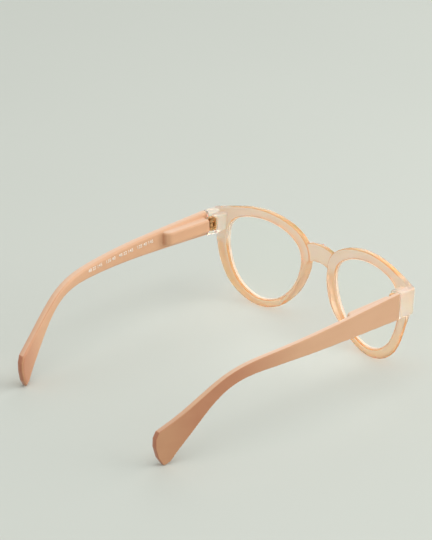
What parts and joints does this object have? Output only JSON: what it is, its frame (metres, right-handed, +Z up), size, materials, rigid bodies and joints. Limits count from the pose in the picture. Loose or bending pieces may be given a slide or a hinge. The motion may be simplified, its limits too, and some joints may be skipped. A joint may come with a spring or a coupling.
{
  "type": "reading glasses",
  "caption": "Full-rim reading glasses with a translucent moulded front, clear lenses and temples that fold in and flex outward on sprung hinges.",
  "frame": {"origin": "on the table under the middle of the open glasses' bounding box", "axes": "+X to the wearer's left, +Y from the front back to the temple tips, +Z up"},
  "size_m": [0.1356, 0.1522, 0.0525],
  "materials": {
    "front_plastic": "polished translucent pale peach moulding",
    "lens_clear": "clear polished lens",
    "temple_plastic": "matte tan rubber-touch coating",
    "hinge_brass": "gold coloured, polished by turning",
    "inner_steel": "bare spring hinge steel"
  },
  "bodies": {
    "front": {"front_frame": "front_plastic", "left_lens": "lens_clear", "right_lens": "lens_clear", "left_front_hinge": "hinge_brass", "right_front_hinge": "hinge_brass", "left_hinge_screw": "hinge_brass", "right_hinge_screw": "hinge_brass"},
    "left_slider_body": {"left_slider": "hinge_brass", "left_stem_screw": "inner_steel"},
    "left_temple_body": {"left_temple": "temple_plastic", "left_spring_housing": "inner_steel", "left_lock_ring": "inner_steel", "left_spring": "inner_steel"},
    "right_slider_body": {"right_slider": "hinge_brass", "right_stem_screw": "inner_steel"},
    "right_temple_body": {"right_temple": "temple_plastic", "right_spring_housing": "inner_steel", "right_lock_ring": "inner_steel", "right_spring": "inner_steel"}
  },
  "joints": [
    {"name": "left_fold", "type": "hinge", "parent": "front", "child": "left_slider_body", "pos_m": [0.0623, -0.05773, 0.04092], "axis": [0, 0, 1], "range_deg": [-4, 86]},
    {"name": "left_flex", "type": "slide", "parent": "left_slider_body", "child": "left_temple_body", "axis": [0, 1, 0], "range_m": [0, 0.0013], "stiffness_N_per_m": 4100, "springref_m": -0.0005, "deforming": ["left_spring"]},
    {"name": "right_fold", "type": "hinge", "parent": "front", "child": "right_slider_body", "pos_m": [-0.0623, -0.05773, 0.04092], "axis": [0, 0, -1], "range_deg": [-4, 72]},
    {"name": "right_flex", "type": "slide", "parent": "right_slider_body", "child": "right_temple_body", "axis": [0, 1, 0], "range_m": [0, 0.0013], "stiffness_N_per_m": 4100, "springref_m": -0.0005, "deforming": ["right_spring"]}
  ]
}
